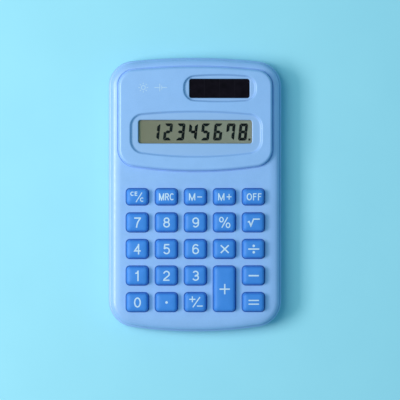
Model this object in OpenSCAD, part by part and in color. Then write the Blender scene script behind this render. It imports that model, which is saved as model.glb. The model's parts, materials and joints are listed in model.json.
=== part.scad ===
// Pocket-size desk calculator with eight digits, twenty-four keys, a solar cell and a button cell.
// The origin is on the table, under the middle of the case. +Y points to the display end, +Z up.

/* [Case] */
// Width across the back case at its widest
case_w = 71; // [70:0.5:74]
// Length from the bottom edge to the top edge
case_l = 112.6; // [112:0.2:116]
// Height of the key deck above the table
deck_z = 10.6; // [10.6:0.1:11.4]
// Height of the parting line between the two shells
seam_z = 6; // [5.8:0.1:6.4]
// Thickness of the shell walls
wall = 1.8; // [1.6:0.1:2]
// Thickness of the key deck
deck_t = 1.4; // [1.3:0.1:1.5]
// Height of the display panel over the key deck
panel_rise = 2.3; // [2.1:0.1:2.4]
// Depth of the dishes round the display and the solar cell
dish_depth = 1; // [0.9:0.1:1.1]
// Width of the groove round the display panel
groove_w = 0.6; // [0.5:0.1:0.8]

/* [Keys] */
// Distance between key columns
key_pitch_x = 11.85; // [11.75:0.05:11.95]
// Distance between key rows
key_pitch_y = 10.85; // [10.75:0.05:10.9]
// Width of every key opening in the deck
key_hole_w = 9.5; // [9.2:0.1:9.6]
// Height of a key opening in the lower four rows
key_hole_h = 8.25; // [8:0.05:8.4]
// Height of a key opening in the top row
top_row_hole_h = 7.15; // [6.8:0.05:7.4]
// Gap between a key and its opening, on each side
key_gap = 0.17; // [0.12:0.01:0.2]
// Height of a key's top over the deck
key_rise = 2.8; // [2.6:0.1:3]
// How far a key travels when it is pressed
key_travel = 0.8; // [0.6:0.1:0.8]

/* [Display] */
// Width of the display opening
display_w = 46.4; // [45:0.2:47]
// Height of the display opening
display_h = 9.55; // [9:0.05:9.8]
// Width of the solar cell opening
solar_w = 24.65; // [23:0.05:25]
// Height of the solar cell opening
solar_h = 7.8; // [7:0.1:8]

/* [Power] */
// Diameter of the button cell
cell_d = 11.6; // [11.4:0.1:11.6]
// Height of the button cell
cell_h = 5.4; // [5:0.1:5.4]

/* [Hidden] */
NODES = [
    "front_case", "back_case", "battery_cover", "case_screws", "board_screws",
    "battery_cover_screw", "rubber_feet", "display_window", "lcd_front_polarizer",
    "lcd_front_glass", "lcd_rear_glass", "lcd_reflector", "lcd_holder", "zebra_connector",
    "solar_cell", "solar_foam_pad", "solar_wire_red", "solar_wire_black", "button_cell",
    "battery_contact_positive", "battery_contact_negative", "battery_wire_red",
    "battery_wire_black", "circuit_board", "contact_pads", "chip_blob", "capacitor",
    "regulator_led", "resistors", "keypad_membrane",
    "key_clear", "key_memory_recall", "key_memory_minus", "key_memory_plus", "key_off",
    "key_7", "key_8", "key_9", "key_percent", "key_root",
    "key_4", "key_5", "key_6", "key_multiply", "key_divide",
    "key_1", "key_2", "key_3", "key_plus", "key_minus",
    "key_0", "key_decimal", "key_sign", "key_equals"
];

$fn = 48;
sliver = 0.01;
corner_steps = 7;
crown_steps = 14;
small_corner_steps = 4;
fillet_steps = 4;

// An outline with straight sides, bowed ends and round corners is held as
// [half width, top, bottom, top bow radius, bottom bow radius, top corner, bottom corner].
case_outline = [case_w / 2, case_l / 2, -case_l / 2, 240, 175, 10.5, 11];
groove_outline = [31.6, 52.35, 9.45, 246, 170, 6.6, 7.5];
display_dish = [26.6, 33.8, 15.45, 222, 165, 5, 5.2];
solar_dish = [14.5, 48.75, 38.05, 120, 150, 4.4, 4.4];
solar_dish_x = 9.87;

// Heights, from the table up
foot_h = 0.8;
back_floor_z = 2.2;
under_deck = deck_z - deck_t;
panel_z = deck_z + panel_rise;
dish_z = panel_z - dish_depth;
window_lip = 0.5;
seam_gap = 0.1;
tongue_h = 1.2;
board_t = 1;
board_z = 4.2;
board_top = board_z + board_t;

// Shell profile, as insets from the case outline
back_edge_r = 2.2;
back_side_top = 4.6;
rim_inset = 0.9;
front_inset = 1;
front_draft = 0.1;
deck_edge_r = 2;
cavity_inset = front_inset + wall;
fit_gap = 0.1;

// Display and solar cell stacks, top surfaces from the front to the back
display_at = [-0.1, 25.65];
display_dish_x = 0.2;
solar_at = [9.8, 43.35];
opening_corner = 1;
window_t = 0.5;
window_lap = 1;
window_z = dish_z - window_lip - window_t;
polarizer_t = 0.15;
glass_t = 0.7;
reflector_t = 0.2;
polarizer_z = window_z - 0.05 - polarizer_t;
front_glass_z = polarizer_z - glass_t;
rear_glass_z = front_glass_z - glass_t;
reflector_z = rear_glass_z - reflector_t;
lcd_w = 50;
lcd_bottom = 17;
lcd_top = 32.6;
lcd_ledge = 2.6;
lcd_wall_t = 1.3;
lcd_wall_z = 7;
zebra_w = 2;
solar_cell_t = 1.1;
solar_lap = 1.2;
solar_z = dish_z - window_lip - solar_cell_t;
foam_z = 7;

// Screws and bosses
case_screw_at = [[28, 48.5], [-28, 48.5], [29.5, 8], [-29.5, 8], [18, -50.9], [-18, -50.9]];
board_screw_at = [[20, 11], [-20, 11], [0, -51.2]];
case_screw_r = 1;
board_screw_r = 0.85;
case_boss_r = 2.4;
board_boss_r = 1.9;
back_post_r = 3.1;
head_well_r = 2.1;
head_seat_z = 3.2;
back_post_top = 4.4;
thread_gap = 0.02;

// Feet
foot_at = [[28, 30], [-28, 30], [28, -42], [-28, -42]];
foot_r = 3;
foot_sink = 0.5;

// Button cell bay, under a cover in the back
cell_at = [-16, 43];
cell_r = cell_d / 2;
cell_well_r = cell_r + 0.3;
cell_well_t = 1.2;
cell_well_top = 8.9;
cell_ceiling_t = 0.7;
cell_z = 2.05;
cover_w = 17;
cover_h = 17.2;
cover_t = 1.2;
cover_gap = 0.15;
cover_top = foot_h + cover_t;
bay_ledge_top = 3.2;
cover_screw_at = cell_at + [6.5, -6.5];
tab_w = 6;
tab_out = 1.2;

// Keypad
flange = 0.75;
flange_t = 0.78;
flange_z = under_deck - 0.02 - flange_t;
key_corner = 1.55;
membrane_t = 0.7;
dome_r = 3.8;
dome_top_r = 2.6;
dome_wall = 0.5;
pill_r = 1.5;
pad_r = 2.2;
pad_t = 0.04;
pad_slot = 0.4;

// Row and column of each key, counted from the top left, and how many rows it spans
key_cells = [
    [0, 0, 1], [0, 1, 1], [0, 2, 1], [0, 3, 1], [0, 4, 1],
    [1, 0, 1], [1, 1, 1], [1, 2, 1], [1, 3, 1], [1, 4, 1],
    [2, 0, 1], [2, 1, 1], [2, 2, 1], [2, 3, 1], [2, 4, 1],
    [3, 0, 1], [3, 1, 1], [3, 2, 1], [3, 3, 2], [3, 4, 1],
    [4, 0, 1], [4, 1, 1], [4, 2, 1], [4, 4, 1]
];
first_key = len(NODES) - len(key_cells);
top_row_y = -0.9;
second_row_y = -11.35;
middle_column = 2;

function row_y(row) = row == 0 ? top_row_y : second_row_y - (row - 1) * key_pitch_y;
function hole_h(cell) =
    cell[0] == 0 ? top_row_hole_h : key_hole_h + (cell[2] - 1) * key_pitch_y;
function key_at(cell) = [
    (cell[1] - middle_column) * key_pitch_x,
    row_y(cell[0]) - (cell[2] - 1) * key_pitch_y / 2
];

// Points on an arc. The last point is left out unless the outline goes straight on from it.
function arc(centre, r, from, to, steps, last = false) = [
    for (i = [0 : last ? steps : steps - 1])
        let (a = from + (to - from) * i / steps)
            centre + r * [cos(a), sin(a)]
];

// Points of a bowed outline, moved inwards by inset
function bowed(o, inset = 0) =
    let (
        top_c = [0, o[1] - o[3]],
        low_c = [0, o[2] + o[4]],
        top_x = o[0] - o[5],
        low_x = o[0] - o[6],
        top_y = top_c[1] + sqrt(pow(o[3] - o[5], 2) - pow(top_x, 2)),
        low_y = low_c[1] - sqrt(pow(o[4] - o[6], 2) - pow(low_x, 2)),
        top_a = atan2(top_y - top_c[1], top_x),
        low_a = atan2(low_c[1] - low_y, low_x),
        top_r = o[5] - inset,
        low_r = o[6] - inset
    )
    concat(
        arc([top_x, top_y], top_r, 0, top_a, corner_steps),
        arc(top_c, o[3] - inset, top_a, 180 - top_a, crown_steps),
        arc([-top_x, top_y], top_r, 180 - top_a, 180, corner_steps, true),
        arc([-low_x, low_y], low_r, 180, 180 + low_a, corner_steps),
        arc(low_c, o[4] - inset, 180 + low_a, 360 - low_a, crown_steps),
        arc([low_x, low_y], low_r, 360 - low_a, 360, corner_steps, true)
    );

// Points of a rectangle with round corners, centred on the origin
function round_rect(w, h, r) = [
    for (q = [0 : 3])
        let (
            c = [(q == 0 || q == 3 ? 1 : -1) * (w / 2 - r), (q < 2 ? 1 : -1) * (h / 2 - r)]
        )
        each arc(c, r, q * 90, q * 90 + 90, small_corner_steps, true)
];

// [inset, height] steps round a convex edge, from a wall at in0 up to a top at in1
function edge_up(in0, in1, z0, z1) = [
    for (i = [0 : fillet_steps])
        let (a = 90 * i / fillet_steps)
            [in0 + (in1 - in0) * (1 - cos(a)), z0 + (z1 - z0) * sin(a)]
];

// [inset, height] steps round a convex edge, from a flat bottom at in0 out to a wall at in1
function edge_out(in0, in1, z0, z1) = [
    for (i = [0 : fillet_steps])
        let (a = 90 * i / fillet_steps)
            [in0 + (in1 - in0) * sin(a), z0 + (z1 - z0) * (1 - cos(a))]
];

// A solid through thin slices of a bowed outline, at the given [inset, height] steps
module bowed_loft(o, steps) {
    hull()
        for (i = [0 : len(steps) - 1])
            translate([0, 0, steps[i][1] - (i == 0 ? 0 : sliver)])
                linear_extrude(sliver)
                    polygon(bowed(o, steps[i][0]));
}

module bowed_block(o, inset, z0, z1) {
    translate([0, 0, z0])
        linear_extrude(z1 - z0)
            polygon(bowed(o, inset));
}

module round_block(w, h, r, z0, z1) {
    translate([0, 0, z0])
        linear_extrude(z1 - z0)
            polygon(round_rect(w, h, r));
}

// A box given by its two corners
module box(low, high) {
    translate(low)
        cube(high - low);
}

module at_each(places) {
    for (p = places)
        translate([p[0], p[1], 0])
            children();
}

module rod(r, z0, z1) {
    translate([0, 0, z0])
        cylinder(r = r, h = z1 - z0);
}

module cone(r0, r1, z0, z1) {
    translate([0, 0, z0])
        cylinder(r1 = r0, r2 = r1, h = z1 - z0);
}

// ---- Front case: key deck, raised display panel, openings and bosses ----

module front_skin() {
    side_inset = front_inset + front_draft;
    shoulder_z = deck_z - deck_edge_r;
    bowed_loft(
        case_outline,
        concat(
            [[front_inset, seam_z + seam_gap]],
            edge_up(side_inset, side_inset + deck_edge_r, shoulder_z, deck_z)
        )
    );
    panel_edge = groove_w / 2 + sliver;
    panel_edge_w = 1;
    panel_edge_h = 1.1;
    bowed_loft(
        groove_outline,
        concat(
            [[panel_edge, under_deck + 0.5]],
            edge_up(panel_edge, panel_edge + panel_edge_w, panel_z - panel_edge_h, panel_z)
        )
    );
}

module groove_cut() {
    groove_depth = 0.4;
    difference() {
        bowed_block(groove_outline, -groove_w / 2, deck_z - groove_depth, deck_z + 1);
        bowed_block(groove_outline, groove_w / 2, 0, deck_z + 2);
    }
}

module display_cuts() {
    translate([display_dish_x, 0, 0])
        bowed_block(display_dish, 0, dish_z, panel_z + 1);
    translate([display_at[0], display_at[1], 0]) {
        round_block(display_w, display_h, opening_corner, under_deck - 1, panel_z + 1);
        round_block(
            display_w + 2 * window_lap + 0.2, display_h + 2 * window_lap + 0.2,
            opening_corner, under_deck - 1, window_z + window_t
        );
    }
    lcd_gap = 0.2;
    box(
        [-lcd_w / 2 - lcd_gap, lcd_bottom - lcd_gap, under_deck - 1],
        [lcd_w / 2 + lcd_gap, lcd_top + lcd_gap, window_z]
    );
}

module solar_cuts() {
    translate([solar_dish_x, 0, 0])
        bowed_block(solar_dish, 0, dish_z, panel_z + 1);
    translate([solar_at[0], solar_at[1], 0]) {
        round_block(solar_w, solar_h, opening_corner, under_deck - 1, panel_z + 1);
        round_block(
            solar_w + 2 * solar_lap + 0.2, solar_h + 2 * solar_lap + 0.2,
            opening_corner, under_deck - 1, dish_z - window_lip
        );
    }
}

module lcd_pocket_wall() {
    gap = 0.2;
    out = gap + lcd_wall_t;
    difference() {
        box(
            [-lcd_w / 2 - out, lcd_bottom - out, lcd_wall_z],
            [lcd_w / 2 + out, lcd_top + out, under_deck + 0.2]
        );
        box(
            [-lcd_w / 2 - gap, lcd_bottom - gap, 0],
            [lcd_w / 2 + gap, lcd_top + gap, deck_z]
        );
    }
}

module front_case() {
    color("#8fbdf8")
        difference() {
            union() {
                difference() {
                    front_skin();
                    groove_cut();
                    bowed_block(case_outline, cavity_inset, 0, under_deck);
                }
                difference() {
                    bowed_block(
                        case_outline, wall + fit_gap,
                        seam_z - tongue_h, seam_z + seam_gap + 1
                    );
                    bowed_block(case_outline, cavity_inset, 0, deck_z);
                }
                lcd_pocket_wall();
                at_each(case_screw_at)
                    rod(case_boss_r, back_post_top + 0.05, under_deck + 0.3);
                at_each(board_screw_at)
                    rod(board_boss_r, board_top + 0.02, under_deck + 0.3);
            }
            for (cell = key_cells)
                translate(concat(key_at(cell), 0))
                    round_block(
                        key_hole_w, hole_h(cell), key_corner + key_gap,
                        under_deck - 1, deck_z + 1
                    );
            display_cuts();
            solar_cuts();
            at_each(case_screw_at)
                rod(case_screw_r + thread_gap, 0, under_deck - 0.6);
            at_each(board_screw_at)
                rod(board_screw_r + thread_gap, 0, under_deck - 0.8);
        }
}

// ---- Back case: floor, rim, screw posts and the button cell bay ----

module back_skin() {
    bowed_loft(
        case_outline,
        concat(
            edge_out(back_edge_r, 0, foot_h, foot_h + back_edge_r),
            edge_up(0, rim_inset, back_side_top, seam_z)
        )
    );
}

module cell_bay() {
    translate([cell_at[0], cell_at[1], 0]) {
        round_block(cover_w + 3.5, cover_h + 3.3, 2, cover_top, bay_ledge_top);
        rod(cell_well_r + cell_well_t, cover_top, cell_well_top);
    }
    translate([cover_screw_at[0], cover_screw_at[1], 0])
        rod(2.1, cover_top, 6.2);
}

module cell_bay_cuts() {
    positive_slot_w = 4;
    negative_slot_w = 2.4;
    translate([cell_at[0], cell_at[1], 0]) {
        round_block(
            cover_w + 2 * cover_gap, cover_h + 2 * cover_gap, 1.5 + cover_gap,
            0, cover_top
        );
        rod(cell_well_r, cover_top - 1, cell_well_top - cell_ceiling_t);
        box(
            [-cell_well_r - 2, -positive_slot_w / 2, bay_ledge_top + 0.2],
            [-cell_well_r + 0.6, positive_slot_w / 2, 8]
        );
        box(
            [-negative_slot_w / 2, -cell_well_r - 2, 7.7],
            [negative_slot_w / 2, -cell_well_r + 0.6, cell_well_top - cell_ceiling_t]
        );
        box(
            [-cover_w / 2 - tab_out - 0.2, -tab_w / 2 - 0.2, 1.38],
            [-cover_w / 2 + 0.1, tab_w / 2 + 0.2, cover_top]
        );
    }
    translate([cover_screw_at[0], cover_screw_at[1], 0])
        rod(case_screw_r + thread_gap, 0, 5.4);
}

module floor_ribs() {
    rib_t = 1;
    rib_top = 3.2;
    for (x = [-9, 9])
        box([x - rib_t / 2, -45, back_floor_z - 0.2], [x + rib_t / 2, 15, rib_top]);
    for (y = [-38, 24])
        box([-24, y - rib_t / 2, back_floor_z - 0.2], [24, y + rib_t / 2, rib_top]);
}

// Two ribs that hold the foam pad up against the back of the solar cell
module solar_ribs() {
    rib_t = 1;
    for (x = [-5, 5])
        translate([solar_at[0] + x, solar_at[1], 0])
            box([-rib_t / 2, -4, back_floor_z - 0.2], [rib_t / 2, 4, foam_z - sliver]);
}

module back_case() {
    color("#8fbdf8")
        difference() {
            union() {
                difference() {
                    back_skin();
                    bowed_block(case_outline, wall, back_floor_z, seam_z + 1);
                }
                at_each(case_screw_at)
                    rod(back_post_r, back_floor_z - 0.2, back_post_top);
                cell_bay();
                floor_ribs();
                solar_ribs();
            }
            at_each(case_screw_at) {
                rod(head_well_r, 0, head_seat_z);
                rod(case_screw_r + 0.15, 0, deck_z);
            }
            at_each(foot_at)
                rod(foot_r + 0.05, 0, foot_h + foot_sink);
            cell_bay_cuts();
        }
}

module battery_cover() {
    tab_z = 1.42;
    color("#8fbdf8")
        difference() {
            translate([cell_at[0], cell_at[1], 0]) {
                round_block(cover_w, cover_h, 1.5, foot_h, cover_top - 0.03);
                box(
                    [-cover_w / 2 - tab_out, -tab_w / 2, tab_z],
                    [-cover_w / 2 + 1, tab_w / 2, cover_top - 0.03]
                );
            }
            translate([cover_screw_at[0], cover_screw_at[1], 0]) {
                cone(1.85, 1.15, foot_h - sliver, 1.5);
                rod(1.15, 0, cover_top + 1);
            }
            finger_grip_w = 8;
            for (i = [0 : 3])
                translate([cell_at[0], cell_at[1], 0])
                    box(
                        [-finger_grip_w / 2, 3 + i * 1.1, foot_h - 1],
                        [finger_grip_w / 2, 3.5 + i * 1.1, foot_h + 0.25]
                    );
        }
}

// ---- Fasteners and feet ----

// A cross slot of the given depth, cut up into a head whose face is at z
module cross_slot(span, z, depth) {
    slot_t = 0.45;
    for (a = [0, 90])
        rotate([0, 0, a])
            box([-span / 2, -slot_t / 2, z - 1], [span / 2, slot_t / 2, z + depth]);
}

module pan_screw(head_r, head_h, shank_r, seat_z, tip_z) {
    head_z = seat_z - head_h;
    difference() {
        union() {
            rod(head_r, head_z + 0.35, seat_z);
            cone(head_r - 0.35, head_r, head_z, head_z + 0.35);
            rod(shank_r, seat_z - 0.1, tip_z - 0.6);
            cone(shank_r, shank_r / 2, tip_z - 0.6, tip_z);
        }
        cross_slot(2 * head_r - 1.2, head_z, 0.6);
    }
}

module case_screws() {
    color("silver")
        at_each(case_screw_at)
            pan_screw(1.9, 1.3, case_screw_r, head_seat_z - sliver, 8.2);
}

module board_screws() {
    color("silver")
        at_each(board_screw_at)
            pan_screw(1.5, 0.9, board_screw_r, board_z - sliver, 8);
}

module battery_cover_screw() {
    color("silver")
        translate([cover_screw_at[0], cover_screw_at[1], 0])
            difference() {
                union() {
                    cone(1.75, case_screw_r, foot_h + 0.02, 1.5);
                    rod(case_screw_r, 1.5 - sliver, 4.6);
                    cone(case_screw_r, case_screw_r / 2, 4.6, 5.2);
                }
                cross_slot(2.2, foot_h, 0.5);
            }
}

module rubber_feet() {
    foot_edge = 0.3;
    color("#3a3f48")
        at_each(foot_at) {
            rod(foot_r, foot_edge, foot_h + foot_sink - sliver);
            cone(foot_r - foot_edge, foot_r, 0, foot_edge);
        }
}

// ---- Display ----

module display_window() {
    color("#e8f2f6", 0.35)
        translate([display_at[0], display_at[1], 0])
            round_block(
                display_w + 2 * window_lap, display_h + 2 * window_lap, opening_corner,
                window_z, window_z + window_t - sliver
            );
}

module lcd_sheet(margin, z, t) {
    box(
        [-lcd_w / 2 + margin, lcd_bottom + lcd_ledge + margin / 2, z],
        [lcd_w / 2 - margin, lcd_top - margin / 2, z + t]
    );
}

module lcd_front_polarizer() {
    color("#98a18e", 0.4)
        lcd_sheet(1, polarizer_z, polarizer_t);
}

module lcd_front_glass() {
    color("#c9d6cf", 0.4)
        box([-lcd_w / 2, lcd_bottom, front_glass_z], [lcd_w / 2, lcd_top, polarizer_z]);
}

module lcd_rear_glass() {
    color("#c9d6cf", 0.4)
        lcd_sheet(0, rear_glass_z, glass_t);
}

module lcd_reflector() {
    color("#868f77")
        lcd_sheet(1, reflector_z, reflector_t);
}

module zebra_slot(gap, z0, z1) {
    box(
        [-23.5 - gap, lcd_bottom + 0.2 - gap, z0],
        [23.5 + gap, lcd_bottom + 0.2 + zebra_w + gap, z1]
    );
}

module lcd_holder() {
    margin = 0.2;
    bar = 2;
    low_y = lcd_bottom + margin - 0.15;
    color("white")
        difference() {
            box(
                [-lcd_w / 2 + margin, low_y, board_top + 0.05],
                [lcd_w / 2 - margin, lcd_top - margin, reflector_z - 0.05]
            );
            zebra_slot(0.1, 0, deck_z);
            for (i = [-2 : 1])
                box(
                    [i * 12 + bar / 2, lcd_bottom + zebra_w + bar, 0],
                    [(i + 1) * 12 - bar / 2, lcd_top - bar, deck_z]
                );
        }
}

module zebra_connector() {
    color("#d86f8c")
        zebra_slot(0, board_top + sliver, front_glass_z - sliver);
}

// ---- Solar cell ----

module solar_cell() {
    color("#15131a")
        translate([solar_at[0], solar_at[1], 0])
            round_block(
                solar_w + 2 * solar_lap, solar_h + 2 * solar_lap, opening_corner,
                solar_z, solar_z + solar_cell_t - sliver
            );
}

module solar_foam_pad() {
    color("#30343a")
        translate([solar_at[0], solar_at[1], 0])
            box([-8, -4, foam_z], [8, 4, solar_z - sliver]);
}

// A wire through the given points: straight stretches with round elbows
module wire(points) {
    wire_r = 0.42;
    elbow_r = 0.55;
    for (i = [0 : len(points) - 2]) {
        run = points[i + 1] - points[i];
        span = norm(run);
        translate(points[i])
            rotate([0, acos(run[2] / span), atan2(run[1], run[0])])
                cylinder(r = wire_r, h = span, $fn = 24);
    }
    for (i = [1 : len(points) - 2])
        translate(points[i])
            sphere(r = elbow_r, $fn = 24);
}

// From a pad on the back of the solar cell, over the board's edge, to its solder pad
module solar_wire(x) {
    wire([
        [x, solar_at[1], solar_z - sliver],
        [x, solar_at[1], 7.8],
        [x, 35.4, 6.6],
        [x, 33.4, board_top + 0.5]
    ]);
}

module solar_wire_red() {
    color("#c23a34")
        solar_wire(20.5);
}

module solar_wire_black() {
    color("#222222")
        solar_wire(-0.5);
}

// ---- Button cell and its contacts ----

module button_cell() {
    can_h = cell_h - 0.6;
    color("silver")
        translate([cell_at[0], cell_at[1], cell_z]) {
            rod(cell_r - 0.25, 0, 0.3);
            rod(cell_r, 0.3 - sliver, can_h);
            rod(cell_r - 1.1, can_h - sliver, cell_h);
        }
}

module battery_contact_positive() {
    leaf_in = cell_r + 0.04;
    leaf_t = 0.22;
    leaf_w = 3.4;
    color("#c9b26a")
        translate([cell_at[0], cell_at[1], 0]) {
            box([-leaf_in - leaf_t, -leaf_w / 2, 3.5], [-leaf_in, leaf_w / 2, 7.8]);
            box([-leaf_in - 2.7, -1, 7.58], [-leaf_in - leaf_t + sliver, 1, 7.8]);
        }
}

module battery_contact_negative() {
    plate_z = 7.94;
    color("#c9b26a")
        translate([cell_at[0], cell_at[1], 0]) {
            rod(4, plate_z, plate_z + 0.24);
            cone(1, 2.2, cell_z + cell_h + 0.02, plate_z + sliver);
            box([-1, -cell_r - 2.6, plate_z], [1, 0, plate_z + 0.24]);
        }
}

module battery_wire_red() {
    wire_x = cell_at[0] - cell_r - 2.2;
    color("#c23a34")
        wire([
            [wire_x, cell_at[1], 7.57],
            [wire_x, cell_at[1], 6.8],
            [wire_x, 35.4, 6.2],
            [wire_x, 33.4, board_top + 0.5]
        ]);
}

module battery_wire_black() {
    color("#222222")
        wire([
            [cell_at[0], cell_at[1] - cell_r - 2.2, 7.93],
            [cell_at[0], cell_at[1] - cell_r - 2.2, 6.6],
            [cell_at[0], 33.2, board_top + 0.5]
        ]);
}

// ---- Circuit board and what is on it ----

module circuit_board() {
    board_w = 60;
    board_low = -53;
    board_high = 34;
    notch_r = back_post_r + 0.3;
    color("#3f7a45")
        difference() {
            intersection() {
                box([-board_w / 2, board_low, board_z], [board_w / 2, board_high, board_top]);
                bowed_block(case_outline, cavity_inset + 0.5, 0, deck_z);
            }
            at_each(case_screw_at)
                rod(notch_r, 0, deck_z);
            at_each(board_screw_at)
                rod(board_screw_r + 0.1, 0, deck_z);
        }
}

module contact_pads() {
    color("#2b2b2e")
        for (cell = key_cells)
            translate(concat(key_at(cell), 0))
                difference() {
                    rod(pad_r, board_top, board_top + pad_t);
                    box([-pad_slot / 2, -3, 0], [pad_slot / 2, 3, deck_z]);
                }
}

module chip_blob() {
    blob_r = 5.5;
    blob_h = 1.2;
    cap_r = (blob_r * blob_r + blob_h * blob_h) / (2 * blob_h);
    reach = asin(blob_r / cap_r);
    color("#17181a")
        translate([0, 6, board_z - sliver])
            rotate_extrude()
                polygon(concat(
                    [[0, 0]],
                    arc([0, cap_r - blob_h], cap_r, reach - 90, -90, crown_steps, true)
                ));
}

// A part that lies along X on the board's top
module lying_rod(place, r, l) {
    translate([place[0] - l / 2, place[1], board_top + sliver + r])
        rotate([0, 90, 0])
            cylinder(r = r, h = l);
}

module capacitor() {
    color("#27457e")
        lying_rod([9, 10.5], 1.7, 5);
}

module regulator_led() {
    color("#c8403c")
        lying_rod([-9, 10.5], 1.45, 4.4);
}

module resistors() {
    color("#c9a877")
        for (y = [7.5, 13])
            lying_rod([0, y], 0.85, 3.4);
}

// ---- Keypad ----

module dome_skin() {
    cone(dome_r, dome_top_r, board_top + membrane_t - 0.1, flange_z - sliver);
}

module dome_hollow() {
    roof = flange_z - 0.7;
    cone(dome_r - dome_wall, dome_top_r - dome_wall, board_top - sliver, roof);
}

module keypad_membrane() {
    sheet_w = 59.2;
    sheet_low = -48.35;
    sheet_high = 3.9;
    plunger_z = board_top + key_travel + 0.02;
    color("#d9dde0")
        union() {
            difference() {
                union() {
                    translate([0, (sheet_low + sheet_high) / 2, 0])
                        round_block(
                            sheet_w, sheet_high - sheet_low, 2,
                            board_top + sliver, board_top + membrane_t
                        );
                    for (cell = key_cells)
                        translate(concat(key_at(cell), 0))
                            dome_skin();
                }
                for (cell = key_cells)
                    translate(concat(key_at(cell), 0))
                        dome_hollow();
            }
            for (cell = key_cells)
                translate(concat(key_at(cell), 0))
                    rod(pill_r, plunger_z, flange_z - 0.3);
        }
}

// A key with its flange under the deck, hollow but for the plunger that meets the dome
module key(cell) {
    w = key_hole_w - 2 * key_gap;
    h = hole_h(cell) - 2 * key_gap;
    top_z = deck_z + key_rise;
    // [inset, height under the top] down the side of the cap
    steps = [
        [3, 0], [2.2, 0.07], [1.5, 0.16], [1, 0.3], [0.68, 0.52], [0.44, 0.95], [0.16, 2.4]
    ];
    shell_t = 1.1;
    color("#3f83e2")
        translate(concat(key_at(cell), 0)) {
            difference() {
                union() {
                    round_block(
                        w + 2 * flange, h + 2 * flange, key_corner + flange,
                        flange_z, flange_z + flange_t
                    );
                    hull() {
                        round_block(w, h, key_corner, flange_z + 0.2, flange_z + 0.3);
                        for (s = steps)
                            translate([0, 0, top_z - s[1] - sliver])
                                linear_extrude(sliver)
                                    polygon(round_rect(
                                        w - 2 * s[0], h - 2 * s[0],
                                        max(key_corner - s[0] * 0.6, 0.3)
                                    ));
                    }
                }
                round_block(
                    w - 2 * shell_t, h - 2 * shell_t, 0.6,
                    flange_z - 1, top_z - shell_t - 0.1
                );
            }
            rod(2.2, flange_z, top_z - shell_t);
        }
}

front_case();
back_case();
battery_cover();
case_screws();
board_screws();
battery_cover_screw();
rubber_feet();
display_window();
lcd_front_polarizer();
lcd_front_glass();
lcd_rear_glass();
lcd_reflector();
lcd_holder();
zebra_connector();
solar_cell();
solar_foam_pad();
solar_wire_red();
solar_wire_black();
button_cell();
battery_contact_positive();
battery_contact_negative();
battery_wire_red();
battery_wire_black();
circuit_board();
contact_pads();
chip_blob();
capacitor();
regulator_led();
resistors();
keypad_membrane();
for (i = [0 : len(key_cells) - 1])
    key(key_cells[i]);
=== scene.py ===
import json
import math

import bmesh
import bpy
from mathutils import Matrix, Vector
from mathutils.bvhtree import BVHTree
from mathutils.geometry import tessellate_polygon


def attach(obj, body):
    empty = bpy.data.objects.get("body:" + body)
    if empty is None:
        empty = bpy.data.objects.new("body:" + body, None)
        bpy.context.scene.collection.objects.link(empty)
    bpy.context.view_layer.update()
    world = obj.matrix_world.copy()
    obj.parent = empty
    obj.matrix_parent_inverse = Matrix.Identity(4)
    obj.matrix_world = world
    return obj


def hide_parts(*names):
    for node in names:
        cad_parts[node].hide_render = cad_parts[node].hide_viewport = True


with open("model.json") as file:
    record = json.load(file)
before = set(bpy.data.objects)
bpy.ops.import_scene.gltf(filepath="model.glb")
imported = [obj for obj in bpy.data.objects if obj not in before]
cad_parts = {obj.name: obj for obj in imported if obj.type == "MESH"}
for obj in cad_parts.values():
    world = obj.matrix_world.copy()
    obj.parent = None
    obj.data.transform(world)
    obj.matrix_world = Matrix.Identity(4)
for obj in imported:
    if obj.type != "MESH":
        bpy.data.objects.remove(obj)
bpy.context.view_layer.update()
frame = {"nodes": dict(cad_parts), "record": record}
CASE = "case"

# Shapes are worked out in millimetres, on the frame's axes, and scaled once when a mesh is made.
MM = 0.001

# ---- Sizes that the CAD model has too ----

# (half width, top, bottom, top bow radius, bottom bow radius, top corner, bottom corner)
CASE_LINE = (35.5, 56.3, -56.3, 240, 175, 10.5, 11)
GROOVE_LINE = (31.6, 52.35, 9.45, 246, 170, 6.6, 7.5)
DISPLAY_DISH = (26.6, 33.8, 15.45, 222, 165, 5, 5.2)
DISPLAY_DISH_X = 0.2
SOLAR_DISH = (14.5, 48.75, 38.05, 120, 150, 4.4, 4.4)
SOLAR_DISH_X = 9.87

SEAM_GAP = 0.1
TONGUE_H = 1.2
PANEL_RISE = 2.3
DISH_DEPTH = 1.0
WINDOW_LIP = 0.5
WINDOW_T = 0.5
LCD_GAP = 0.05

# Heights, from the table up
FOOT_H = 0.8
FLOOR_Z = 2.2
BACK_SIDE_TOP = 4.6
RIM_Z = 6.0
SEAM_Z = RIM_Z + SEAM_GAP
TONGUE_Z = RIM_Z - TONGUE_H
UNDER_DECK = 9.2
DECK_Z = 10.6
PANEL_Z = DECK_Z + PANEL_RISE
DISH_Z = PANEL_Z - DISH_DEPTH
LIP_Z = DISH_Z - WINDOW_LIP
WINDOW_Z = LIP_Z - WINDOW_T
LCD_TOP_Z = WINDOW_Z - LCD_GAP

# Insets from CASE_LINE
WALL = 1.8
RIM_INSET = 0.9
FRONT_INSET = 1.0
FRONT_DRAFT = 0.1
CAVITY = FRONT_INSET + WALL
FIT_GAP = 0.1
BACK_EDGE_R = 2.2

DISPLAY_AT = (-0.1, 25.65)
DISPLAY_SIZE = (46.4, 9.55)
SOLAR_AT = (9.8, 43.35)
SOLAR_SIZE = (24.65, 7.8)
OPENING_R = 1.0
LCD_WALL_T = 1.3
LCD_WALL_Z = 7.0

KEY_PITCH = (11.85, 10.85)
KEY_HOLE_W = 9.5
KEY_HOLE_H = 8.25
TOP_ROW_HOLE_H = 7.15
KEY_GAP = 0.17
KEY_CORNER = 1.55
FLANGE = 0.75
FLANGE_Z = (8.4, 9.18)
TOP_ROW_Y = -0.9
SECOND_ROW_Y = -11.35

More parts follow.
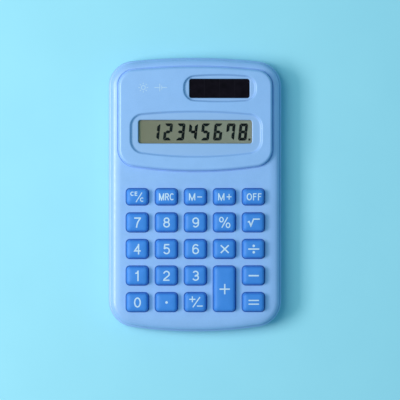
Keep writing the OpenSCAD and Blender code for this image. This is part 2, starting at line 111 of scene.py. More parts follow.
CASE_SCREWS = ((28, 48.5), (-28, 48.5), (29.5, 8), (-29.5, 8), (18, -50.9), (-18, -50.9))
BOARD_SCREWS = ((20, 11), (-20, 11), (0, -51.2))
CASE_THREAD_R = 1.02
BOARD_THREAD_R = 0.87
HEAD_WELL_R = 2.1
HEAD_SEAT_Z = 3.2
BACK_POST_TOP = 4.4
FEET = ((28, 30), (-28, 30), (28, -42), (-28, -42))
FOOT_HOLE_R = 3.05
FOOT_SINK = 0.5

CELL_AT = (-16.0, 43.0)
CELL_WELL_R = 6.1
CELL_WELL_T = 1.2
CELL_WELL_TOP = 8.9
CELL_CEILING_T = 0.7
COVER_SIZE = (17.3, 17.5)
COVER_CORNER = 1.65
COVER_TOP = 2.0
COVER_SCREW = (-9.5, 36.5)
BAY_LEDGE_TOP = 3.2

# name: (row, column, rows spanned), counted from the top left
KEYS = {
    "key_clear": (0, 0, 1),
    "key_memory_recall": (0, 1, 1),
    "key_memory_minus": (0, 2, 1),
    "key_memory_plus": (0, 3, 1),
    "key_off": (0, 4, 1),
    "key_7": (1, 0, 1),
    "key_8": (1, 1, 1),
    "key_9": (1, 2, 1),
    "key_percent": (1, 3, 1),
    "key_root": (1, 4, 1),
    "key_4": (2, 0, 1),
    "key_5": (2, 1, 1),
    "key_6": (2, 2, 1),
    "key_multiply": (2, 3, 1),
    "key_divide": (2, 4, 1),
    "key_1": (3, 0, 1),
    "key_2": (3, 1, 1),
    "key_3": (3, 2, 1),
    "key_plus": (3, 3, 2),
    "key_minus": (3, 4, 1),
    "key_0": (4, 0, 1),
    "key_decimal": (4, 1, 1),
    "key_sign": (4, 2, 1),
    "key_equals": (4, 4, 1),
}
MIDDLE_COLUMN = 2


def row_y(row):
    """The middle of a row. The gap under the top row is its own."""
    return TOP_ROW_Y if row == 0 else SECOND_ROW_Y - (row - 1) * KEY_PITCH[1]


def key_centre(cell):
    row, column, span = cell
    x = (column - MIDDLE_COLUMN) * KEY_PITCH[0]
    return x, row_y(row) - (span - 1) * KEY_PITCH[1] / 2


def hole_size(cell):
    """Width and height of a key's opening in the deck."""
    row, _, span = cell
    height = TOP_ROW_HOLE_H if row == 0 else KEY_HOLE_H + (span - 1) * KEY_PITCH[1]
    return KEY_HOLE_W, height


def key_size(cell):
    return tuple(side - 2 * KEY_GAP for side in hole_size(cell))


# ---- Outlines and profiles ----

BOW_CORNER_STEPS = 14
BOW_STEPS = 28
CORNER_STEPS = 7


def arc(centre, r, start, end, steps, last=True):
    """Points on an arc, in degrees. last is whether the arc's end point is among them."""
    count = steps + 1 if last else steps
    points = []
    for i in range(count):
        a = math.radians(start + (end - start) * i / steps)
        points.append((centre[0] + r * math.cos(a), centre[1] + r * math.sin(a)))
    return points


def bowed(line, inset):
    """Points of a bowed outline moved inwards by inset."""
    half_w, top, bottom, top_r, low_r, top_corner, low_corner = line
    top_c = (0, top - top_r)
    low_c = (0, bottom + low_r)
    top_x = half_w - top_corner
    low_x = half_w - low_corner
    top_y = top_c[1] + math.sqrt((top_r - top_corner) ** 2 - top_x**2)
    low_y = low_c[1] - math.sqrt((low_r - low_corner) ** 2 - low_x**2)
    top_a = math.degrees(math.atan2(top_y - top_c[1], top_x))
    low_a = math.degrees(math.atan2(low_c[1] - low_y, low_x))
    tr = top_corner - inset
    lr = low_corner - inset
    return (
        arc((top_x, top_y), tr, 0, top_a, BOW_CORNER_STEPS, False)
        + arc(top_c, top_r - inset, top_a, 180 - top_a, BOW_STEPS, False)
        + arc((-top_x, top_y), tr, 180 - top_a, 180, BOW_CORNER_STEPS)
        + arc((-low_x, low_y), lr, 180, 180 + low_a, BOW_CORNER_STEPS, False)
        + arc(low_c, low_r - inset, 180 + low_a, 360 - low_a, BOW_STEPS, False)
        + arc((low_x, low_y), lr, 360 - low_a, 360, BOW_CORNER_STEPS)
    )


def round_rect(size, r, inset=0.0, centre=(0, 0)):
    """Points of a rectangle with round corners, moved inwards by inset."""
    half_x = size[0] / 2 - r
    half_y = size[1] / 2 - r
    points = []
    for quarter, (sx, sy) in enumerate(((1, 1), (-1, 1), (-1, -1), (1, -1))):
        corner = (centre[0] + sx * half_x, centre[1] + sy * half_y)
        points += arc(corner, r - inset, quarter * 90, quarter * 90 + 90, CORNER_STEPS)
    return points


def bezier(points, steps=14):
    """Points on the smooth curve that the given points pull."""
    curve = []
    for i in range(steps + 1):
        t = i / steps
        level = list(points)
        while len(level) > 1:
            level = [
                (a[0] + (b[0] - a[0]) * t, a[1] + (b[1] - a[1]) * t)
                for a, b in zip(level, level[1:])
            ]
        curve.append(level[0])
    return curve


def circle(centre, r, steps=40):
    return arc(centre, r, 0, 360, steps, False)


def moved(points, dx):
    """The same points, dx further to the right."""
    return [(x + dx, y) for x, y in points]


def soften(profile, steps=5):
    """A profile of (inset, z, corner radius) with each inner corner rounded."""
    points = [Vector((inset, z)) for inset, z, _ in profile]
    out = [points[0]]
    for i in range(1, len(points) - 1):
        p = points[i]
        back = points[i - 1] - p
        on = points[i + 1] - p
        reach = min(profile[i][2], back.length / 2, on.length / 2)
        if reach == 0:
            out.append(p)
            continue
        a = p + back.normalized() * reach
        b = p + on.normalized() * reach
        for s in range(steps + 1):
            t = s / steps
            out.append(a * (1 - t) ** 2 + p * 2 * t * (1 - t) + b * t * t)
    out.append(points[-1])
    return [(p.x, p.y) for p in out]


def rounded_edge(in0, z0, in1, z1, steps=18):
    """A quarter round from a wall at in0, z0 up to a flat top at in1, z1."""
    points = []
    for i in range(steps + 1):
        a = math.radians(90 * i / steps)
        points.append((in0 + (in1 - in0) * (1 - math.cos(a)), z0 + (z1 - z0) * math.sin(a)))
    return points


# ---- Mesh building ----

SHARP_ANGLE = math.radians(38)
WELD_DISTANCE = 2e-7


class Shape:
    """Rings of points joined by strips and filled between loops."""

    def __init__(self):
        self.verts = []
        self.faces = []

    def ring(self, points, z):
        start = len(self.verts)
        self.verts += [(x, y, z) for x, y in points]
        return list(range(start, len(self.verts)))

    def strip(self, a, b):
        n = len(a)
        for i in range(n):
            j = (i + 1) % n
            self.faces.append((a[i], a[j], b[j], b[i]))

    def loft(self, outline, profile):
        """Strips through outline(inset) at each (inset, z); gives the first and last ring."""
        rings = [self.ring(outline(inset), z) for inset, z in profile]
        for a, b in zip(rings, rings[1:]):
            self.strip(a, b)
        return rings[0], rings[-1]

    def fill(self, outer, holes=()):
        loops = [outer, *holes]
        flat = [i for loop in loops for i in loop]
        vectors = [[Vector(self.verts[i]) for i in loop] for loop in loops]
        for tri in tessellate_polygon(vectors):
            self.faces.append(tuple(flat[i] for i in tri))

    def crown(self, ring):
        """Closes a ring with one flat face."""
        self.faces.append(tuple(ring))

    def pocket(self, points, z0, z1, cap=True):
        """A straight wall round points from z0 to z1. Gives the ring at z0, and at z1."""
        a = self.ring(points, z0)
        b = self.ring(points, z1)
        self.strip(a, b)
        if cap:
            self.crown(b)
        return a, b


def make(name, shape, material, body, weld=True):
    """A mesh piece in metres that rides on a body, smooth but for its sharp edges.

    weld joins points that meet, as a closed shell needs. Ink and other single sheets stay as drawn.
    """
    mesh = bpy.data.meshes.new(name)
    mesh.from_pydata([Vector(v) * MM for v in shape.verts], [], shape.faces)
    bm = bmesh.new()
    bm.from_mesh(mesh)
    if weld:
        bmesh.ops.remove_doubles(bm, verts=bm.verts, dist=WELD_DISTANCE)
        bmesh.ops.recalc_face_normals(bm, faces=bm.faces)
    for edge in bm.edges:
        edge.smooth = edge.calc_face_angle(0) < SHARP_ANGLE
    for face in bm.faces:
        face.smooth = True
    bm.to_mesh(mesh)
    bm.free()
    piece = bpy.data.objects.new(name, mesh)
    bpy.context.scene.collection.objects.link(piece)
    piece.data.materials.append(material)
    if weld:
        weighted = piece.modifiers.new("weighted_normals", "WEIGHTED_NORMAL")
        weighted.mode = "FACE_AREA"
        weighted.keep_sharp = True
    if body:
        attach(piece, body)
    return piece


# ---- Materials ----

# Nearly all of a noise's values lie between these two.
NOISE_RANGE = (0.3, 0.7)
# The shader's own value for how strongly it reflects
PLAIN_SHINE = 0.5
FLECK_TO_GRAIN = 1.7


class Nodes:
    """A material's node tree, with short ways to add what the materials here need."""

    def __init__(self, name):
        self.material = bpy.data.materials.new(name)
        self.material.use_nodes = True
        self.tree = self.material.node_tree
        self.shader = self.tree.nodes["Principled BSDF"]
        self.output = self.tree.nodes["Material Output"]
        self.place = self.add("ShaderNodeTexCoord").outputs["Object"]

    def add(self, kind):
        return self.tree.nodes.new(kind)

    def link(self, a, b):
        self.tree.links.new(a, b)

    def feed(self, name, source):
        """Links a source to one of the shader's inputs."""
        self.link(source, self.shader.inputs[name])

    def set(self, name, value):
        """Gives one of the shader's inputs a constant."""
        self.shader.inputs[name].default_value = value

    def axes(self):
        """The object's own x, y and z, in metres."""
        split = self.add("ShaderNodeSeparateXYZ")
        self.link(self.place, split.inputs["Vector"])
        return split.outputs["X"], split.outputs["Y"], split.outputs["Z"]

    def noise(self, size_mm, detail=2.0, stretch=None):
        """Noise whose blotches are about size_mm across."""
        source = self.place
        if stretch:
            mapping = self.add("ShaderNodeMapping")
            mapping.inputs["Scale"].default_value = stretch
            self.link(self.place, mapping.inputs["Vector"])
            source = mapping.outputs["Vector"]
        node = self.add("ShaderNodeTexNoise")
        node.inputs["Scale"].default_value = 1 / (size_mm * MM)
        node.inputs["Detail"].default_value = detail
        self.link(source, node.inputs["Vector"])
        return node.outputs["Fac"]

    def map_range(self, value, source, target=(0, 1)):
        """value, from the range source, mapped to the range target."""
        node = self.add("ShaderNodeMapRange")
        node.inputs["From Min"].default_value = source[0]
        node.inputs["From Max"].default_value = source[1]
        node.inputs["To Min"].default_value = target[0]
        node.inputs["To Max"].default_value = target[1]
        self.link(value, node.inputs["Value"])
        return node.outputs["Result"]

    def spread(self, noise, low=0, high=1):
        """Noise made to run from low to high."""
        return self.map_range(noise, NOISE_RANGE, (low, high))

    def mix_node(self, a, b):
        """A node that mixes a and b. Each is a colour or a socket."""
        node = self.add("ShaderNodeMix")
        node.data_type = "RGBA"
        ends = [s for s in node.inputs if s.type == "RGBA"]
        for socket, colour in zip(ends, (a, b)):
            if isinstance(colour, tuple):
                socket.default_value = (*colour, 1)
            else:
                self.link(colour, socket)
        result = [s for s in node.outputs if s.type == "RGBA"][0]
        return node, result

    def blend(self, factor, a, b):
        """Colour a where factor is 0 and b where it is 1."""
        node, result = self.mix_node(a, b)
        self.link(factor, node.inputs["Factor"])
        return result

    def multiply(self, a, b):
        """Colour a times colour b."""
        node, result = self.mix_node(a, b)
        node.blend_type = "MULTIPLY"
        node.inputs["Factor"].default_value = 1.0
        return result

    def bump(self, height, depth_mm, under=None):
        """A normal for a height from 0 to 1, over the normal under if there is one."""
        node = self.add("ShaderNodeBump")
        node.inputs["Distance"].default_value = depth_mm * MM
        node.inputs["Strength"].default_value = 1.0
        self.link(height, node.inputs["Height"])
        if under is not None:
            self.link(under, node.inputs["Normal"])
        return node.outputs["Normal"]

    def math(self, operation, a, b=None):
        node = self.add("ShaderNodeMath")
        node.operation = operation
        for socket, value in zip(node.inputs, (a, b)):
            if value is None:
                continue
            if isinstance(value, (int, float)):
                socket.default_value = value
            else:
                self.link(value, socket)
        return node.outputs["Value"]


def tint(colour, factor):
    return tuple(min(c * factor, 1.0) for c in colour)


def grey(level):
    return (level, level, level)


def moulded(
    name,
    colour,
    roughness,
    grain_mm,
    grain_depth=0.004,
    contrast=0.05,
    shine=PLAIN_SHINE,
    form=None,
    tone=None,
):
    """Moulded plastic or rubber: fine grain, broad slight mottling and uneven gloss.

    form, if given, adds a large, shallow shape under the grain, and tone changes the colour.
    """
    n = Nodes(name)
    mottle = n.spread(n.noise(size_mm=9.0, detail=3.0))
    broad = n.blend(mottle, tint(colour, 1 - contrast / 2), tint(colour, 1 + contrast / 2))
    fleck = n.spread(n.noise(grain_mm * FLECK_TO_GRAIN, detail=4.0))
    base = n.multiply(broad, n.blend(fleck, grey(1 - contrast), grey(1.0)))
    n.feed("Base Color", tone(n, base) if tone else base)
    gloss = n.noise(size_mm=2.2, detail=3.0)
    n.feed("Roughness", n.spread(gloss, low=roughness - 0.05, high=roughness + 0.06))
    grain = n.noise(grain_mm, detail=3.0)
    n.feed("Normal", n.bump(grain, grain_depth, form(n) if form else None))
    n.set("Specular IOR Level", shine)
    return n.material


def metal(name, colour, roughness, stretch=(1, 9, 1)):
    """Metal with a drawn or brushed grain, whose direction stretch gives."""
    n = Nodes(name)
    streak = n.noise(size_mm=0.25, detail=5.0, stretch=stretch)
    n.feed("Base Color", n.blend(n.spread(streak), tint(colour, factor=0.86), colour))
    n.feed("Roughness", n.spread(streak, low=roughness - 0.07, high=roughness + 0.1))
    n.feed("Normal", n.bump(streak, depth_mm=0.002))
    n.set("Metallic", 1.0)
    return n.material


def clear_pane(name, colour):
    """A clear coated pane, with faint reflections, that lets lamps light what is behind it."""
    n = Nodes(name)
    n.set("Base Color", (*colour, 1))
    n.set("Transmission Weight", 1.0)
    n.set("IOR", 1.1)
    n.feed("Roughness", n.spread(n.noise(size_mm=3.0), low=0.018, high=0.042))
    through = n.add("ShaderNodeBsdfTransparent")
    through.inputs["Color"].default_value = (*tint(colour, factor=0.98), 1)
    paths = n.add("ShaderNodeLightPath")
    lamp_ray = n.math("MAXIMUM", paths.outputs["Is Shadow Ray"], paths.outputs["Is Diffuse Ray"])
    mix = n.add("ShaderNodeMixShader")
    n.link(lamp_ray, mix.inputs["Fac"])
    n.link(n.shader.outputs["BSDF"], mix.inputs[1])
    n.link(through.outputs["BSDF"], mix.inputs[2])
    n.link(mix.outputs["Shader"], n.output.inputs["Surface"])
    return n.material


def printed(name, colour, roughness=0.45, shine=PLAIN_SHINE):
    """Opaque ink with a slightly uneven film."""
    n = Nodes(name)
    film = n.spread(n.noise(size_mm=0.5, detail=4.0))
    n.feed("Base Color", n.blend(film, tint(colour, factor=0.93), colour))
    n.feed("Roughness", n.spread(n.noise(size_mm=0.9), low=roughness - 0.06, high=roughness + 0.06))
    n.feed("Normal", n.bump(n.noise(size_mm=0.2, detail=3.0), depth_mm=0.003))
    n.set("Specular IOR Level", shine)
    return n.material


SOLAR_CELLS = 4
# Width of the line between two cells, as a part of a cell's width
CELL_LINE_W = 0.044
SILICON = ((0.005, 0.002, 0.004), (0.010, 0.005, 0.009))
CELL_LINE = (0.012, 0.007, 0.011)


def solar_face(name):
    """Dark silicon under clear resin, with thin lines between its cells."""
    n = Nodes(name)
    x, _, _ = n.axes()
    cell_w = SOLAR_SIZE[0] / SOLAR_CELLS * MM
    left = (SOLAR_AT[0] - SOLAR_SIZE[0] / 2) * MM
    across = n.math("DIVIDE", n.math("SUBTRACT", x, left), cell_w)
    off_middle = n.math("ABSOLUTE", n.math("SUBTRACT", n.math("FRACT", across), 0.5))
    line = n.math("GREATER_THAN", off_middle, 0.5 - CELL_LINE_W / 2)
    silicon = n.blend(n.spread(n.noise(size_mm=2.5, detail=4.0)), *SILICON)
    n.feed("Base Color", n.blend(line, silicon, CELL_LINE))
    n.feed("Roughness", n.spread(n.noise(size_mm=1.2), low=0.12, high=0.22))
    n.feed("Normal", n.bump(n.noise(size_mm=0.8), depth_mm=0.002))
    n.set("Specular IOR Level", 0.1)
    return n.material


# Painted shade: the display face is darker and warmer at its left end than at its right.
LCD_SHADED_LEFT = (0.236, 0.184, 0.108)
LCD_LIT_RIGHT = (0.338, 0.284, 0.208)


def display_face(name):
    """The grey-green face of the display, with painted shade: darker and warmer to the left, with a
    fine sheen.
    """
    n = Nodes(name)
    x, _, _ = n.axes()
    half = DISPLAY_SIZE[0] / 2 * MM
    base = n.blend(n.map_range(x, (-half, half)), LCD_SHADED_LEFT, LCD_LIT_RIGHT)
    grain = n.spread(n.noise(size_mm=0.12, detail=4.0))
    n.feed("Base Color", n.multiply(base, n.blend(grain, grey(0.93), grey(1.0))))
    n.feed("Roughness", n.spread(n.noise(size_mm=1.0), low=0.34, high=0.46))
    n.feed("Normal", n.bump(n.noise(size_mm=0.1, detail=3.0), depth_mm=0.002))
    return n.material


# The key deck falls a little towards its edge, between these two insets from CASE_LINE.
ROLL_END = 5.4
EDGE_INSET = 3.25
ROLL_DEPTH = 0.2


def edge_roll(n):
    """The key deck's last shallow fall towards its edge, as a bump that ends at EDGE_INSET."""
    half_w, top, _, top_bow, low_bow, corner, _ = CASE_LINE
    along_x, along_y, _ = n.axes()
    x = n.math("DIVIDE", n.math("ABSOLUTE", along_x), MM)
    y = n.math("DIVIDE", n.math("ABSOLUTE", along_y), MM)
    bow = n.math("DIVIDE", n.math("MULTIPLY", x, x), top_bow + low_bow)
    past_x = n.math("SUBTRACT", x, half_w - corner)
    past_y = n.math("SUBTRACT", n.math("ADD", y, bow), top - corner)
    out_x = n.math("MAXIMUM", past_x, 0)
    out_y = n.math("MAXIMUM", past_y, 0)
    squares = n.math("ADD", n.math("MULTIPLY", out_x, out_x), n.math("MULTIPLY", out_y, out_y))
    inside = n.math("MINIMUM", n.math("MAXIMUM", past_x, past_y), 0)
    reach = n.math("ADD", n.math("SQRT", squares), inside)
    t = n.map_range(n.math("SUBTRACT", corner, reach), (ROLL_END, EDGE_INSET))
    return n.bump(n.math("MULTIPLY", n.math("MULTIPLY", t, t), -ROLL_DEPTH), depth_mm=1.0)


SHELL_BLUE = (0.378, 0.543, 0.914)
# Painted shade for the floors of the recessed dishes: a darker, greyer blue than the shell.
DISH_SHADE_BLUE = (0.372, 0.505, 0.810)
KEY_BLUE = (0.067, 0.268, 0.775)


def dish_floor_shade(n, colour):
    """Painted shade: the floors of the two recessed dishes, told by their height, get a greyer,
    darker blue.
    """
    near = 0.06
    _, _, z = n.axes()
    off = n.math("ABSOLUTE", n.math("SUBTRACT", z, DISH_Z * MM))
    return n.blend(n.math("LESS_THAN", off, near * MM), colour, DISH_SHADE_BLUE)


# moulded: colour, roughness, grain size and depth in mm, contrast. metal: colour, roughness.
shell_mat = moulded("shell_plastic", SHELL_BLUE, 0.38, 0.28, 0.005, shine=1.0)
# The deck's plastic, with painted shade on the floors of the two dishes.
deck_mat = moulded(
    "deck_plastic", SHELL_BLUE, 0.38, 0.28, 0.005, shine=0.85, form=edge_roll, tone=dish_floor_shade
)
key_mat = moulded("key_plastic", KEY_BLUE, 0.46, 0.22, shine=0.35)
ink_mat = printed("legend_ink", (0.75, 0.81, 0.94))
faint_ink_mat = printed("panel_ink", (0.62, 0.73, 0.94))
digit_mat = printed("display_segments", grey(0.005), roughness=0.6, shine=0.1)
slot_mats = {
    "shell_blue": shell_mat,
    "key_blue": key_mat,
    "window_clear": clear_pane("window_plastic", (0.97, 0.985, 0.99)),
    "lcd_glass": display_face("display_face"),
    "lcd_reflector": moulded("reflector_foil", (0.24, 0.28, 0.20), 0.5, 0.2),
    "white_plastic": moulded("holder_plastic", (0.82, 0.82, 0.79), 0.5, 0.3),
    "conductive_rubber": moulded("zebra_rubber", (0.62, 0.18, 0.26), 0.6, 0.2),
    "solar_black": solar_face("solar_silicon"),
    "foam_black": moulded("foam", (0.030, 0.031, 0.036), 0.85, 0.5, 0.05),
    "wire_red": moulded("red_insulation", (0.52, 0.035, 0.028), 0.4, 0.2),
    "wire_black": moulded("black_insulation", (0.02, 0.02, 0.022), 0.4, 0.2),
    "cell_steel": metal("cell_can", (0.66, 0.66, 0.65), 0.24),
    "contact_brass": metal("contact_brass", (0.62, 0.48, 0.22), 0.28),
    "board_green": moulded("board_laminate", (0.045, 0.21, 0.07), 0.35, 0.6, 0.006, 0.12),
    "carbon_black": moulded("carbon_print", (0.025, 0.025, 0.028), 0.7, 0.15),
    "epoxy_black": moulded("chip_epoxy", (0.015, 0.015, 0.016), 0.3, 0.4),
    "capacitor_blue": moulded("capacitor_sleeve", (0.03, 0.075, 0.30), 0.25, 0.3),
    "led_red": moulded("led_epoxy", (0.58, 0.04, 0.03), 0.2, 0.3),
    "resistor_tan": moulded("resistor_lacquer", (0.52, 0.36, 0.19), 0.35, 0.2),
    "membrane_rubber": moulded("mat_silicone", (0.70, 0.73, 0.75), 0.55, 0.4),
    "screw_steel": metal("screw_steel", (0.58, 0.58, 0.59), 0.3, (6, 6, 1)),
    "foot_rubber": moulded("foot_rubber", (0.045, 0.05, 0.058), 0.7, 0.25, 0.012, 0.15),
}
for subpart in frame["record"]["subparts"]:
    node = frame["nodes"][subpart["node"]]
    for slot in node.material_slots:
        slot.material = slot_mats[subpart["material_slot"]]

# ---- Front shell ----

SIDE_TOP_Z = 8.4
BAND_TOP_Z = 6.5
# Where the outer and the inner faces of the wall meet on its foot
FOOT_INSET = 1.25
GROOVE_Z = 10.25
PANEL_EDGE_H = 1.1
PANEL_EDGE_INSET = (0.28, 1.3)
WINDOW_LAP = 1.1
GLASS_AT = (0, 24.8)
GLASS_SIZE = (50.4, 16.0)
GLASS_CORNER = 0.2
SOLAR_LAP = 1.3
CASE_BOSS_R = 2.4
LOW_BOSS_R = 1.5
CASE_BOSS_Z = (4.45, 8.6)
BOARD_BOSS_R = 1.9
BOARD_BOSS_Z = (5.22, 8.4)


def side_profile():
    """The front shell's outside from its foot to the key deck, as (inset, z)."""
    side_inset = FRONT_INSET + FRONT_DRAFT
    wall = [
        (FOOT_INSET, SEAM_Z, 0),
        (FRONT_INSET, SEAM_Z, 0.15),
        (FRONT_INSET, BAND_TOP_Z, 0.1),
        (side_inset, SIDE_TOP_Z, 0),
    ]
    shoulder = [(side_inset, SIDE_TOP_Z), (side_inset, 9.8), (2.25, 10.4), (EDGE_INSET, DECK_Z)]
    return soften(wall, 3)[:-1] + bezier(shoulder, 18)


def groove_profile():
    """Down from the deck, through the groove and up the panel's rounded edge."""
    start, end = PANEL_EDGE_INSET
    edge_z = PANEL_Z - PANEL_EDGE_H
    groove = [
        (-0.45, DECK_Z, 0),
        (-0.27, DECK_Z, 0.12),
        (-0.20, GROOVE_Z, 0.15),
        (0.18, GROOVE_Z, 0.15),
        (start, edge_z, 0),
    ]
    return soften(groove) + rounded_edge(start, edge_z, end, PANEL_Z)[1:]


def key_openings(s):
    """The openings in the deck. Gives their rings at its top, and those at its underside."""
    profile = soften([(-0.22, DECK_Z, 0), (0, DECK_Z, 0.2), (0, UNDER_DECK, 0)], 4)
    tops = []
    undersides = []
    for cell in KEYS.values():
        size = hole_size(cell)
        centre = key_centre(cell)
        top, underside = s.loft(
            lambda i: round_rect(size, KEY_CORNER + KEY_GAP, i, centre), profile
        )
        tops.append(top)
        undersides.append(underside)
    return tops, undersides


def dish_wall(s, line, dx, foot, end):
    """The sloping wall of a dish in the panel, whose foot and end are insets from line."""
    profile = soften(
        [(-1.0, PANEL_Z, 0), (-0.42, PANEL_Z, 0.35), (foot, DISH_Z, 0.35), (end, DISH_Z, 0)]
    )
    return s.loft(lambda i: moved(bowed(line, i), dx), profile)


def opening_lip(s, size, at, reach):
    """The rounded edge of an opening in a dish floor."""
    profile = bezier([(-reach, DISH_Z), (0, DISH_Z), (0, LIP_Z)], 6)
    return s.loft(lambda i: round_rect(size, OPENING_R, i, at), profile)


def window_seat(s, lip):
    """The seat of the display window, and under it the walls that hold the glass."""
    seat, seat_low = s.pocket(
        round_rect(DISPLAY_SIZE, OPENING_R, -WINDOW_LAP, DISPLAY_AT), LIP_Z, WINDOW_Z, cap=False
    )
    s.strip(lip, seat)
    inner_top, inner_low = s.pocket(
        round_rect(GLASS_SIZE, GLASS_CORNER, 0, GLASS_AT), WINDOW_Z, LCD_WALL_Z, cap=False
    )
    s.fill(inner_top, [seat_low])
    outer_line = round_rect(GLASS_SIZE, GLASS_CORNER, -LCD_WALL_T, GLASS_AT)
    outer_low, outer_top = s.pocket(outer_line, LCD_WALL_Z, UNDER_DECK, cap=False)
    s.strip(inner_low, outer_low)
    return outer_top


def solar_seat(s, lip):
    """The seat of the solar cell, which is open below."""
    seat, low = s.pocket(
        round_rect(SOLAR_SIZE, OPENING_R, -SOLAR_LAP, SOLAR_AT), LIP_Z, UNDER_DECK, cap=False
    )
    s.strip(lip, seat)
    return low


def boss(s, at, r, ends, hole_r):
    """A hollow boss that hangs from the deck. ends are the heights of its foot and hole end."""
    foot, hole_end = ends
    top, bottom = s.pocket(circle(at, r), UNDER_DECK, foot, cap=False)
    hole, _ = s.pocket(circle(at, hole_r), foot, hole_end)
    s.strip(bottom, hole)
    return top


def front_shell():
    """The top shell, from its outside down through every opening to its inside."""
    s = Shape()
    _, deck_ring = s.loft(lambda i: bowed(CASE_LINE, i), side_profile())
    groove_out, groove_in = s.loft(lambda i: bowed(GROOVE_LINE, i), groove_profile())
    key_tops, key_undersides = key_openings(s)
    s.fill(deck_ring, [groove_out, *key_tops])

    display_top, display_low = dish_wall(s, DISPLAY_DISH, DISPLAY_DISH_X, foot=0.32, end=0.9)
    solar_top, solar_low = dish_wall(s, SOLAR_DISH, SOLAR_DISH_X, foot=0.25, end=0.5)
    s.fill(groove_in, [display_top, solar_top])
    display_edge, display_lip = opening_lip(s, DISPLAY_SIZE, DISPLAY_AT, reach=0.5)
    solar_edge, solar_lip = opening_lip(s, SOLAR_SIZE, SOLAR_AT, reach=0.3)
    s.fill(display_low, [display_edge])
    s.fill(solar_low, [solar_edge])

    window_foot = window_seat(s, display_lip)
    solar_foot = solar_seat(s, solar_lip)
    bosses = []
    for x, y in CASE_SCREWS:
        r = CASE_BOSS_R if y > 0 else LOW_BOSS_R
        bosses.append(boss(s, (x, y), r, CASE_BOSS_Z, CASE_THREAD_R))
    for at in BOARD_SCREWS:
        bosses.append(boss(s, at, BOARD_BOSS_R, BOARD_BOSS_Z, BOARD_THREAD_R))

    inside = [
        (CAVITY, UNDER_DECK),
        (CAVITY, TONGUE_Z),
        (WALL + FIT_GAP, TONGUE_Z),
        (WALL + FIT_GAP, SEAM_Z),
        (FOOT_INSET, SEAM_Z),
    ]
    ceiling, _ = s.loft(lambda i: bowed(CASE_LINE, i), inside)
    s.fill(ceiling, [*key_undersides, window_foot, solar_foot, *bosses])
    return s


front = make("front_shell", front_shell(), deck_mat, CASE)
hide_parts("front_case")

# ---- Back shell ----

WELL_CHAMFER = 0.12
SCREW_GAP_R = 1.15
POST_R = 3.1
LOW_POST_R = 2.45
CELL_WELL_STEPS = 64
COVER_HOLE_TOP = 5.4
COVER_BOSS_R = 1.75
COVER_BOSS_TOP = 6.2
BAY_SIZE = (20.5, 20.5)
BAY_CORNER = 2


def screw_well(s, at):
    """A screw's head well, hole and post. Gives its rings under the case and on the floor."""
    mouth, seat = s.pocket(
        circle(at, HEAD_WELL_R), FOOT_H + WELL_CHAMFER, HEAD_SEAT_Z, cap=False
    )
    brim = s.ring(circle(at, HEAD_WELL_R + WELL_CHAMFER), FOOT_H)
    s.strip(brim, mouth)
    hole, hole_top = s.pocket(circle(at, SCREW_GAP_R), HEAD_SEAT_Z, BACK_POST_TOP, cap=False)
    s.strip(seat, hole)
    post_r = POST_R if at[1] > 0 else LOW_POST_R
    post_top, post_low = s.pocket(circle(at, post_r), BACK_POST_TOP, FLOOR_Z, cap=False)
    s.strip(hole_top, post_top)
    return brim, post_low


def cover_recess(s):
    """The recess of the battery cover, with the cell's well and the screw's hole in it."""
    profile = soften([(-0.12, FOOT_H, 0), (0, FOOT_H, 0.1), (0, COVER_TOP, 0)], 3)
    rim, seat = s.loft(lambda i: round_rect(COVER_SIZE, COVER_CORNER, i, CELL_AT), profile)
    well_line = circle(CELL_AT, CELL_WELL_R, CELL_WELL_STEPS)
    well, _ = s.pocket(well_line, COVER_TOP, CELL_WELL_TOP - CELL_CEILING_T)
    screw_hole, _ = s.pocket(circle(COVER_SCREW, CASE_THREAD_R), COVER_TOP, COVER_HOLE_TOP)
    s.fill(seat, [well, screw_hole])
    return rim


def battery_bay(s):
    """The block round the cell's well, inside the case. Gives its ring on the floor."""
    low, top = s.pocket(
        round_rect(BAY_SIZE, BAY_CORNER, 0, CELL_AT), FLOOR_Z, BAY_LEDGE_TOP, cap=False
    )
    well_line = circle(CELL_AT, CELL_WELL_R + CELL_WELL_T, CELL_WELL_STEPS)
    well_low, _ = s.pocket(well_line, BAY_LEDGE_TOP, CELL_WELL_TOP)
    boss_low, _ = s.pocket(circle(COVER_SCREW, COVER_BOSS_R), BAY_LEDGE_TOP, COVER_BOSS_TOP)
    s.fill(top, [well_low, boss_low])
    return low


def back_shell():
    """The bottom shell, with wells for screws, feet and the cell."""
    s = Shape()
    outside = arc((BACK_EDGE_R, FOOT_H + BACK_EDGE_R), BACK_EDGE_R, 270, 180, 14)
    outside += rounded_edge(0, BACK_SIDE_TOP, RIM_INSET, RIM_Z, 8)
    outside += [(WALL, RIM_Z), (WALL, FLOOR_Z)]
    bottom, floor_ring = s.loft(lambda i: bowed(CASE_LINE, i), outside)

    bottom_holes = []
    floor_holes = []
    for at in CASE_SCREWS:
        brim, post_low = screw_well(s, at)
        bottom_holes.append(brim)
        floor_holes.append(post_low)
    for at in FEET:
        rim, _ = s.pocket(circle(at, FOOT_HOLE_R), FOOT_H, FOOT_H + FOOT_SINK)
        bottom_holes.append(rim)
    bottom_holes.append(cover_recess(s))
    s.fill(bottom, bottom_holes)
    floor_holes.append(battery_bay(s))
    s.fill(floor_ring, floor_holes)
    return s


back = make("back_shell", back_shell(), shell_mat, CASE)
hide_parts("back_case")

# ---- Keys ----

KEY_TOP_Z = 13.36
# The part of a key inside its opening stands out past the face that shows above the deck.
KEY_LEDGE = (-0.12, 10.05)
KEY_SIDE = soften(
    [
        (-FLANGE, FLANGE_Z[0], 0),
        (-FLANGE, FLANGE_Z[1], 0.1),
        (KEY_LEDGE[0], FLANGE_Z[1], 0),
        (*KEY_LEDGE, 0.05),
        (0.0, 10.12, 0.05),
        (0.16, 11.0, 0.3),
        (0.42, 12.42, 0.3),
        (0.66, 12.85, 0.25),
        (1.0, 13.08, 0.3),
        (1.5, 13.22, 0.3),
        (2.2, 13.31, 0.4),
        (2.8, 13.34, 0.4),
        (3.25, KEY_TOP_Z, 0),
    ]
)


